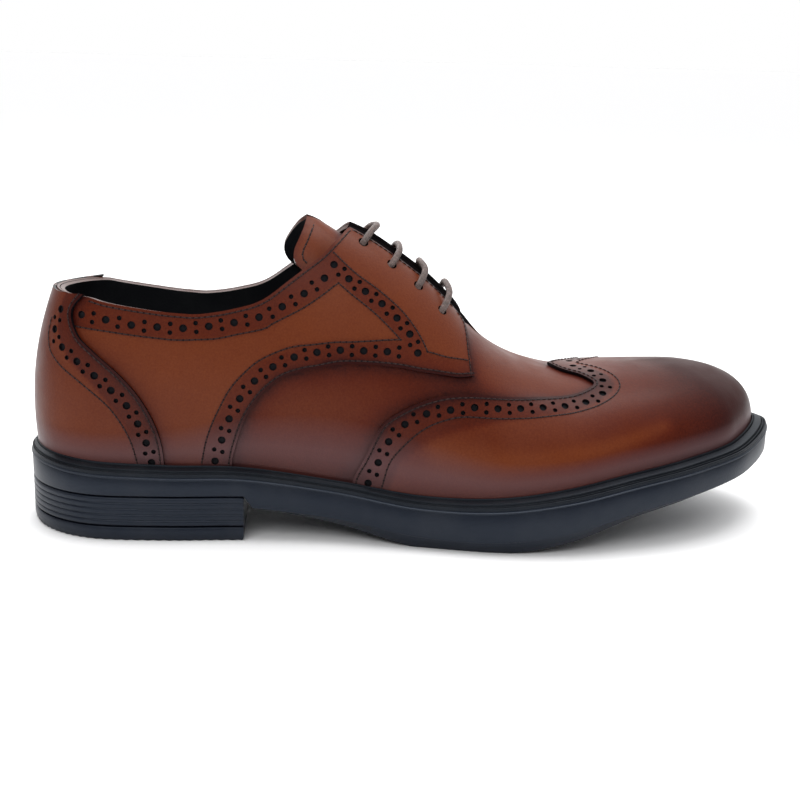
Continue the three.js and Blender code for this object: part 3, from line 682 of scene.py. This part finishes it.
def rising_line(t, v_from, v_to, pitch=2.2):
    count = int(abs(v_to - v_from) * FLAT_V / pitch) + 2
    return np.column_stack((np.full(count, t), np.linspace(v_from, v_to, count)))


def joined(*lines):
    """Lines put end to end into one closed outline, each shared corner once."""
    return np.vstack([line[:-1] for line in lines])


# The vamp and lining close at the heel's back and along the ridge, where both sides meet.
THROAT_END = 6.75
throat_cut = smooth_line([(5.176, 0.911), (5.763, 0.903), (6.2, 0.905), (6.62, 0.92),
                          (THROAT_END, 1.0)], 2.0)
half_upper = joined(COLLAR, throat_cut, level_line(THROAT_END, TOE, 1.0), rising_line(TOE, 1.0, 0.0),
                    level_line(TOE, 0, 0.0), rising_line(0, 0.0, 0.835))


def low_edge(spots):
    """1 at the feather line, then down to 0 a fifth of the way up the side; the shade functions use it as
    painted shade, darker towards the welt.
    """
    return np.clip(1 - spots[:, 1] * 5, 0, 1)


def upper_shade(spots):
    near_quarter = distance_to(spots, np.vstack((FACING_FRONT, QUARTER_LOW)))
    near_wing = distance_to(spots, WING_EDGE)
    edge = 0.5 * np.exp(-near_quarter / 2.5) + 0.45 * np.exp(-near_wing / 3)
    ridge = np.clip(spots[:, 1] - 0.6, 0, 1)
    return np.clip(0.24 + edge + 0.3 * low_edge(spots) + 0.15 * ridge, 0, 1)


SPRING = 1.7


def facing_spring(t, v):
    """The inner facing springs up a little off the tongue, as a loosely laced one does."""
    inner = 2 * TOE - t
    on_facing = np.clip((inner - 4.9) / 0.5, 0, 1) * np.clip((6.9 - inner) / 0.4, 0, 1)
    return SPRING * on_facing * np.clip((v - 0.68) / 0.24, 0, 1) ** 1.5


def both_sides(outline, punches):
    inner_punches = [(2 * TOE - t, *rest) for t, *rest in punches]
    return [(outline, punches), (mirrored(outline), inner_punches)]


lasted_leather("vamp", both_sides(half_upper, eyelet_cuts), -WALL, 0.0,
               (skin_leather, inked_edge, black_lining, hole_shadow, rolled_edge), 2.0, facing_spring,
               shade=upper_shade)
finish_object("vamp", "upper")

# Punches of the brogue rows: along the middle of each band a large hole, then two small ones side by
# side, at an even pitch.
LARGE_HOLE = 1.32
SMALL_HOLE = 0.76
SMALL_PAIR = 1.65


def brogue_row(line_points, large_count, pair_first=False):
    line = smooth_line(line_points, 1.0)
    marks = np.linspace(0, len(line) - 1, 2 * large_count - (not pair_first))
    line = at_marks(line, np.arange(len(line)), marks)
    punches = [(t, v, LARGE_HOLE, 16, False) for t, v in line[int(pair_first)::2]]
    for way in (-SMALL_PAIR, SMALL_PAIR):
        punches += [(t, v, SMALL_HOLE, 10, False) for t, v in moved(line, way)[1 - pair_first::2]]
    return punches


# Wing cap: the perforated toe piece, with a wing down each side of the shoe and a peak in the middle,
# sewn down over the vamp. Its raised edge is inked dark.
WING_BAND = 9.5
WING_SEAM = smooth_line([(5.48, -0.01), (5.53, 0.03), (5.61, 0.093), (5.77, 0.147), (5.99, 0.207),
                         (6.26, 0.264), (6.58, 0.321), (7.12, 0.388), (7.5, 0.424), (7.93, 0.461),
                         (8.3, 0.489), (8.62, 0.52), (8.89, 0.575), (9.07, 0.653), (9.13, 0.74),
                         (9.08, 0.83), (8.94, 0.91), (8.76, 0.965), (8.66, 1.0)], 1.4)
wing_row = brogue_row([(5.36, 0.027), (5.48, 0.09), (5.63, 0.165), (5.85, 0.227), (6.12, 0.277),
                       (6.39, 0.32), (6.68, 0.376), (7.02, 0.427), (7.38, 0.472), (7.78, 0.51),
                       (8.2, 0.541), (8.58, 0.576), (8.82, 0.655), (8.84, 0.775), (8.74, 0.88),
                       (8.52, 0.955)], 16)
half_wing = joined(WING_EDGE, level_line(8.048, TOE, 1.0), rising_line(TOE, 1.0, -0.02),
                   level_line(TOE, 5.17, -0.02))

# A golden streak along the cap's side, where the wax was rubbed thin.
THIN_WAX = smooth_line([(6.2, 0.15), (6.73, 0.166), (7.38, 0.183), (8.19, 0.206), (8.81, 0.223),
                        (9.52, 0.283)], 2)
THIN_WAX_WIDTH = 4.5


def inked_band(edge, width, depth):
    """Dark wax along a raised edge, and a thinner wash over the band behind it."""
    return 0.55 * np.exp(-edge / 1.2) + depth * falloff(edge, width)


def wing_shade(spots):
    edge = distance_to(spots, WING_EDGE)
    thin = np.exp(-(distance_to(spots, THIN_WAX) / THIN_WAX_WIDTH) ** 2)
    toe = np.clip((spots[:, 0] - 8.1) / 2.9, 0, 1)
    band = inked_band(edge, WING_BAND, 0.24)
    return np.clip(0.23 + band + 0.5 * toe + 0.2 * low_edge(spots) - 0.28 * thin, 0, 1)


overlay_skins = (skin_leather, inked_edge, inked_edge, hole_shadow, rolled_edge)
lasted_leather("wing_cap_leather", both_sides(half_wing, wing_row), GAP, GAP + OVERLAY,
               overlay_skins[:-1], 1.6, shade=wing_shade)
finish_object("wing_cap_leather", "wing_cap")

# Quarters: the two back halves with their facings, sewn over the vamp and apart along the throat. The
# collar band, the facing and the low edge each carry a row of punches.
half_quarter = joined(COLLAR, THROAT, FACING_FRONT, QUARTER_LOW, level_line(3.84, 0, -0.02),
                      rising_line(0, -0.02, 0.835))
collar_row = brogue_row([(1.69, 0.735), (2.24, 0.701), (2.58, 0.662), (2.89, 0.63), (3.25, 0.58),
                         (3.6, 0.53), (3.89, 0.502), (4.19, 0.494), (4.43, 0.51), (4.66, 0.539),
                         (4.86, 0.583)], 11)
facing_row = brogue_row([(4.97, 0.638), (5.13, 0.601), (5.31, 0.58), (5.51, 0.564), (5.69, 0.54),
                         (5.84, 0.508), (5.94, 0.454)], 7)
quarter_row = brogue_row([(5.71, 0.424), (5.6, 0.41), (5.31, 0.381), (5.05, 0.362), (4.8, 0.351),
                          (4.54, 0.342), (4.32, 0.324), (4.12, 0.291), (3.96, 0.245), (3.83, 0.18),
                          (3.74, 0.109), (3.66, 0.041)], 11, pair_first=True)
COLLAR_SEAM = [(1.59, 0.68), (2.0, 0.665), (2.39, 0.637), (2.87, 0.585), (3.36, 0.515), (3.71, 0.468),
               (4.16, 0.449), (4.31, 0.459), (4.61, 0.485), (4.84, 0.524), (5.02, 0.57)]
FACING_INNER_SEAM = [(5.02, 0.57), (5.16, 0.546), (5.4, 0.518), (5.56, 0.496), (5.73, 0.468)]
FACING_OUTER_SEAM = [(4.97, 0.69), (5.08, 0.66), (5.24, 0.63), (5.48, 0.61), (5.73, 0.583),
                     (5.89, 0.548), (6.0, 0.51), (6.06, 0.478)]
TAB_SEAM = [(6.06, 0.478), (6.31, 0.51), (6.59, 0.575)]
QUARTER_SEAM = [(5.73, 0.468), (5.39, 0.419), (5.08, 0.387), (4.77, 0.373), (4.51, 0.372), (4.3, 0.362),
                (4.12, 0.345), (3.96, 0.313), (3.83, 0.276), (3.73, 0.229), (3.64, 0.179),
                (3.56, 0.118), (3.49, 0.03)]

# The panel inside the three rows and the plain facing stay lighter than the punched bands round them.
PANEL = smooth_line(COLLAR_SEAM + FACING_INNER_SEAM[1:], 1.0)
PANEL = np.vstack((PANEL, smooth_line(QUARTER_SEAM, 1.0), [(3.49, -0.06), (1.59, -0.06)]))
FACING = np.vstack((smooth_line(FACING_OUTER_SEAM + TAB_SEAM[1:], 1.0), FACING_FRONT[::-1], THROAT[::-1]))


def within(spots, outline, blend=1.6):
    """1 inside an outline and 0 outside it, with a soft step of so many mm at its line."""
    side = np.where(inside(spots, outline), 1, -1)
    return np.clip(0.5 + side * distance_to(spots, outline) / blend, 0, 1)


def quarter_shade(spots):
    raised = distance_to(spots, np.vstack((FACING_FRONT, QUARTER_LOW)))
    throat = distance_to(spots, THROAT)
    counter = distance_to(spots, COUNTER_EDGE)
    light = np.maximum(within(spots, PANEL), 0.75 * within(spots, FACING))
    edge = 0.55 * np.exp(-np.minimum(raised, throat) / 1.0)
    under_counter = 0.35 * np.exp(-counter / 3)
    return np.clip(0.05 + edge + 0.32 * (1 - light) + 0.3 * low_edge(spots) + under_counter, 0, 1)


quarter_cuts = collar_row + facing_row + quarter_row + eyelet_cuts
for node, part in zip(("quarter_lateral", "quarter_medial"), both_sides(half_quarter, quarter_cuts)):
    lasted_leather(node + "_leather", [part], GAP, GAP + QUARTER, overlay_skins, 1.2, facing_spring,
                   shade=quarter_shade)
    finish_object(node + "_leather", node)

# Heel counter: the perforated piece round the back, sewn over both quarters up to the collar.
COUNTER_LOW = GAP * 2 + QUARTER
COUNTER_BAND = 9.6
half_counter = joined(smooth_line([(0, 0.83), (0.8, 0.83), (1.696, 0.829)], 1.4), COUNTER_EDGE,
                      level_line(3.01, 0, -0.02), rising_line(0, -0.02, 0.83))
counter_row = brogue_row([(1.15, 0.75), (1.09, 0.69), (1.12, 0.625), (1.41, 0.572), (1.73, 0.523),
                          (2.08, 0.46), (2.37, 0.382), (2.59, 0.3), (2.73, 0.203), (2.82, 0.107),
                          (2.85, 0.045)], 10)
COUNTER_SEAM = [(0.88, 0.7), (0.87, 0.64), (0.93, 0.6), (1.06, 0.549), (1.39, 0.489), (1.76, 0.435),
                (2.1, 0.371), (2.34, 0.304), (2.51, 0.221), (2.62, 0.132), (2.68, 0.03)]


def counter_shade(spots):
    edge = distance_to(spots, COUNTER_EDGE)
    back = np.clip(1 - spots[:, 0] / 1.4, 0, 1)
    band = inked_band(edge, COUNTER_BAND, 0.3)
    return np.clip(0.16 + band + 0.35 * low_edge(spots) + 0.34 * back, 0, 1)


lasted_leather("heel_counter_leather", both_sides(half_counter, counter_row), COUNTER_LOW,
               COUNTER_LOW + OVERLAY, overlay_skins, 1.4, shade=counter_shade)
finish_object("heel_counter_leather", "heel_counter")

# Seams: waxed brown thread, one row of short stitches along each band's two sides, every stitch with
# a dark disc at its ends, painted shade of the needle hole.
STITCH = 2.3
THREAD = 0.27


def thread_material():
    material, tree, shader, place = new_material("brown_thread")
    tint = ramp(tree, noise(tree, place, 700), [(0, (0.012, 0.006, 0.006)), (1, (0.04, 0.018, 0.016))])
    feed(tree, shader, {"Base Color": tint, "Roughness": 0.55, "Specular IOR Level": 0.2})
    return material


STITCH_RINGS = [(-0.36, -0.1, 0.5), (-0.2, 0.55, 1.0), (0.2, 0.55, 1.0), (0.36, -0.1, 0.5)]
STITCH_CORNERS = 6
NEEDLE_SHADE_WIDTH = 0.42
NEEDLE_SHADE_LENGTH = 0.5
NEEDLE_SHADE_LIFT = 0.06


def stitch_row(line, height, verts, faces, kinds):
    """Stitches end to end along a line of (t, v) places, and under each one's ends a dark disc, painted
    shade of the needle hole.
    """
    step = smooth_line(line, STITCH)
    place = last_point(step[:, 0], step[:, 1], height)
    up = last_normal(step[:, 0], step[:, 1])
    corners = np.arange(STITCH_CORNERS)
    angles = corners[:, None] * 2 * math.pi / STITCH_CORNERS
    for start, end, normal in zip(place, place[1:], up):
        run = end - start
        side = np.cross(normal, run)
        side /= np.linalg.norm(side)
        base = len(verts)
        for share, lift, width in STITCH_RINGS:
            centre = start + run * (0.5 + share) + normal * THREAD * lift
            verts.extend(centre + (side * np.cos(angles) + normal * np.sin(angles)) * THREAD * width)
        for ring in range(base, base + (len(STITCH_RINGS) - 1) * STITCH_CORNERS, STITCH_CORNERS):
            for a, b in zip(ring + corners, ring + np.roll(corners, -1)):
                faces.append((a, b, b + STITCH_CORNERS, a + STITCH_CORNERS))
                kinds.append(0)
        # A dark disc at the stitch's start: painted shade of the needle hole.
        faces.append(tuple(len(verts) + corners))
        kinds.append(1)
        verts.extend(start + side * np.cos(angles) * NEEDLE_SHADE_WIDTH
                     + run / STITCH * np.sin(angles) * NEEDLE_SHADE_LENGTH + normal * NEEDLE_SHADE_LIFT)


def seam(name, lines, height):
    verts, faces, kinds = [], [], []
    for line in lines:
        stitch_row(line, height, verts, faces, kinds)
        stitch_row(mirrored(np.array(line)), height, verts, faces, kinds)
    piece = active_piece(name, verts, faces)
    piece.data.polygons.foreach_set("material_index", kinds)
    piece.data.materials.append(thread)
    piece.data.materials.append(inked_edge)
    finish_object(name)


thread = thread_material()
behind_counter = COLLAR[:, 0] > 1.75
seam("wing_seam", [moved(WING_EDGE, -1.3)[2:-1], WING_SEAM], GAP + OVERLAY)
seam("quarter_seam",
     [moved(QUARTER_LOW, -1.2)[:-2], moved(FACING_FRONT, -1.2)[2:], moved(THROAT, -1.4)[1:],
      moved(COLLAR, -1.4)[behind_counter][:-1], COLLAR_SEAM, FACING_INNER_SEAM, FACING_OUTER_SEAM, TAB_SEAM,
      QUARTER_SEAM], GAP + QUARTER)
seam("counter_seam", [moved(COUNTER_EDGE, -1.3)[1:], COUNTER_SEAM],
     COUNTER_LOW + OVERLAY)

# Tongue: a leather tab, lined black and stitched near its edge, that arches out of the throat above
# the facings. Under them it lies deeper, with the lace between.
TONGUE_THICKNESS = 2.0
TONGUE_LOW = WALL + GAP + TONGUE_THICKNESS
TONGUE_SEAM_INSET = 3.4
TONGUE_PEAK = 4.66


def tongue_top(places):
    """Its free edge on one side, from the peak down to where it runs under the facing."""
    return smooth_line(places + [(4.7, 0.57)], 1.4)


def tongue_half(top_edge):
    return joined(top_edge, smooth_line([(4.7, 0.57), (5.4, 0.6), (6.2, 0.66), (6.95, 0.74)], 2.2),
                  rising_line(6.95, 0.74, 1.0), level_line(6.95, TONGUE_PEAK, 1.0))


TONGUE_NEAR = tongue_top([(TONGUE_PEAK, 1.0), (4.655, 0.95), (4.63, 0.88), (4.575, 0.8), (4.515, 0.735),
                          (4.52, 0.676), (4.64, 0.615)])
TONGUE_FAR = tongue_top([(TONGUE_PEAK, 1.0), (4.62, 0.95), (4.54, 0.88), (4.45, 0.8), (4.385, 0.735),
                         (4.4, 0.676), (4.5, 0.615)])


def tongue_rest(t, v):
    outer = np.minimum(t, 2 * TOE - t)
    peak = np.clip((v - 0.86) / 0.14, 0, 1) * np.clip((4.95 - outer) / 0.3, 0, 1)
    return 1.2 * peak - 2.8 * np.clip((outer - 4.8) / 0.5, 0, 1)


def tongue_shade(spots):
    # Darkened to near black where the tongue runs under the facings: painted shade.
    under = np.clip((spots[:, 0] - 5.0) / 0.25, 0, 1)
    return np.clip(0.1 + 0.25 * np.exp(-distance_to(spots, TONGUE_NEAR) / 1.5) + under, 0, 1)


lasted_leather("tongue_leather", [(tongue_half(TONGUE_NEAR), []), (mirrored(tongue_half(TONGUE_FAR)), [])],
               -TONGUE_LOW, -TONGUE_LOW + TONGUE_THICKNESS, (skin_leather, rolled_edge, black_lining), 2.0,
               tongue_rest, soft=0.5, shade=tongue_shade)
finish_object("tongue_leather", "tongue")
seam("tongue_seam", [moved(TONGUE_NEAR, TONGUE_SEAM_INSET)[1:-5]],
     -TONGUE_LOW + TONGUE_THICKNESS)

# Lace: a round waxed braid that runs through every eyelet, in four straight bars on top that are
# joined by short runs inside. Its tail runs up inside, and both ends stop behind the near top eyelet.
LACE_RADIUS = 1.32
LACE_SIDES = 14
# The crest of each bar from the top down: how far from the heel's back, how high, and how far it bows.
LACE_BARS = [(138.2, 119.0, 0.6), (146.8, 111.6, 1.6), (155.6, 105.0, 2.4), (166.2, 96.6, 2.2)]


def eyelet_place(row, side, depth):
    t, v = EYELETS[row]
    return last_point(t if side < 0 else 2 * TOE - t, v, depth)


def lace_bar(row):
    """One bar from the near eyelet over the throat to the far one: up out of the hole, crest, down."""
    crest_x, crest_z, bulge = LACE_BARS[row]
    near, far = eyelet_place(row, -1, 1.2), eyelet_place(row, 1, 1.2)
    crest = np.array((crest_x - SOLE_LENGTH / 2, 0.5, crest_z))
    return [eyelet_place(row, -1, -2.4), near, (near + crest) / 2 + (bulge, -0.8, 1.2), crest,
            (far + crest) / 2 + (bulge * 0.4, 1.2, 1.4), far, eyelet_place(row, 1, -2.4)]


lace_route = []
for row in range(len(EYELETS)):
    bar = lace_bar(row)
    lace_route += bar if row % 2 == 0 else bar[::-1]
for row in range(len(EYELETS) - 1, -1, -1):
    lace_route.append(eyelet_place(row, -1, -6.6))


def tube_along(name, route, radius, sides, step):
    """A round tube with UV along and round it, closed at both ends."""
    walk = curve(route, 12)
    run = run_along(walk)
    marks = np.linspace(0, run[-1], int(run[-1] / step))
    walk = at_marks(walk, run, marks)
    ahead = np.gradient(walk, axis=0)
    ahead /= np.linalg.norm(ahead, axis=1, keepdims=True)
    side = np.cross(ahead[0], (0.0, 1.0, 0.3))
    angles = np.arange(sides)[:, None] * 2 * math.pi / sides
    verts, uvs = [], []
    for place, forward in zip(walk, ahead):
        side = side - forward * (side @ forward)
        side /= np.linalg.norm(side)
        up = np.cross(forward, side)
        verts.extend(place + (side * np.cos(angles) + up * np.sin(angles)) * radius)
    faces = []
    for ring, (low, high) in enumerate(zip(marks / radius, marks[1:] / radius)):
        for i in range(sides):
            a, b = ring * sides + i, ring * sides + (i + 1) % sides
            faces.append((a, b, b + sides, a + sides))
            uvs += [(low, i / sides), (low, (i + 1) / sides), (high, (i + 1) / sides), (high, i / sides)]
    faces += [tuple(range(sides))[::-1], tuple(range(len(verts) - sides, len(verts)))]
    uvs += [(0, 0)] * (2 * sides)
    piece = active_piece(name, verts, faces)
    piece.data.uv_layers.new(name="braid").data.foreach_set("uv", np.array(uvs).ravel())
    bpy.ops.object.shade_smooth()
    return piece


def braid_material():
    """Waxed braid: grey-brown plaits that cross at an angle, each with its own random tone and a bumped
    hollow, the hollows darkened as painted shade.
    """
    material, tree, shader, place = new_material("waxed_braid")
    plaits = []
    for turn in (0.9, -0.9):
        skew = add(tree, "Mapping", {"Vector": place["UV"], "Rotation": (0, 0, turn),
                                     "Scale": (1.0, 6.28, 1)})
        wave = add(tree, "TexWave", {"Vector": skew.outputs["Vector"], "Scale": 0.9, "Distortion": 0.6})
        plaits.append(wave.outputs["Fac"])
    weave = math_of(tree, "MAXIMUM", *plaits)
    tone = math_of(tree, "MULTIPLY", weave, noise(tree, place, 900, 3))
    bump = add(tree, "Bump", {"Height": weave, "Strength": 0.8, "Distance": 0.0003})
    # Dark down in the hollows between the plaits, as painted shade, and lighter on their crests.
    tint = ramp(tree, tone, [(0.15, (0.03, 0.02, 0.018)), (0.7, (0.24, 0.16, 0.14))])
    feed(tree, shader, {"Base Color": tint, "Normal": bump.outputs["Normal"], "Roughness": 0.5})
    return material


lace = tube_along("lace", lace_route, LACE_RADIUS, LACE_SIDES, 0.8)
lace.data.materials.append(braid_material())
finish_object("lace")
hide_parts("lace_bar_1", "lace_bar_2", "lace_bar_3", "lace_bar_4")

# Floor and light: a plain pale floor under a white sky, darker before the shoe than behind it, with
# soft boxes above, in front, at the toe and behind.
FLOOR_SIZE = 120
bpy.ops.object.select_all(action="DESELECT")
bpy.ops.mesh.primitive_plane_add(size=FLOOR_SIZE, location=(0, 0, 0))
floor = bpy.context.view_layer.objects.active
floor.name = "floor"
floor_paint, tree, shader, _ = new_material("floor_paint")
feed(tree, shader, {"Base Color": (0.96, 0.96, 0.965, 1), "Roughness": 0.8})
floor.data.materials.append(floor_paint)

SIDE_DIMMING = -1.0
SKY_TILT = 1.3
world = bpy.data.worlds.new("studio")
world.use_nodes = True
tree = world.node_tree
ways = add(tree, "SeparateXYZ", {"Vector": add(tree, "TexCoord", {}).outputs["Generated"]}).outputs
lean = math_of(tree, "MULTIPLY_ADD", math_of(tree, "ABSOLUTE", ways["X"]), SIDE_DIMMING, ways["Y"])
lean = math_of(tree, "MULTIPLY_ADD", ways["Z"], SKY_TILT, lean)
glow = add(tree, "MapRange", {"Value": lean, "From Min": -0.8, "From Max": 0.9, "To Min": 0.12,
                              "To Max": 1.42}, interpolation_type="SMOOTHSTEP")
seen = add(tree, "Mix", {0: add(tree, "LightPath", {}).outputs["Is Camera Ray"],
                         2: glow.outputs["Result"], 3: 1.0}, data_type="FLOAT")
feed(tree, tree.nodes["Background"], {"Strength": seen.outputs[0], "Color": (1, 1, 1, 1)})
bpy.context.scene.world = world
# Each soft box has its place in m, its watts, its width and its height.
SOFT_BOXES = [("top_light", (0.1, 0.15, 1.0), 7, 0.8, 0.6),
              ("front_light", (-0.4, -0.9, 0.9), 4.5, 0.9, 0.6),
              ("toe_light", (1.1, -0.2, 0.6), 0.15, 0.5, 0.6),
              ("back_light", (-0.3, 1.1, 0.7), 5, 1.2, 0.6)]
LIGHT_AIM = Vector((0, 0, 0.05))
for name, place, watts, width, height in SOFT_BOXES:
    lamp = bpy.data.lights.new(name, "AREA")
    lamp.shape = "RECTANGLE"
    lamp.size = width
    lamp.size_y = height
    lamp.energy = watts
    box = bpy.data.objects.new(name, lamp)
    box.location = place
    box.rotation_euler = (LIGHT_AIM - Vector(place)).to_track_quat("-Z", "Y").to_euler()
    bpy.context.scene.collection.objects.link(box)
bpy.context.scene.view_settings.view_transform = "Standard"
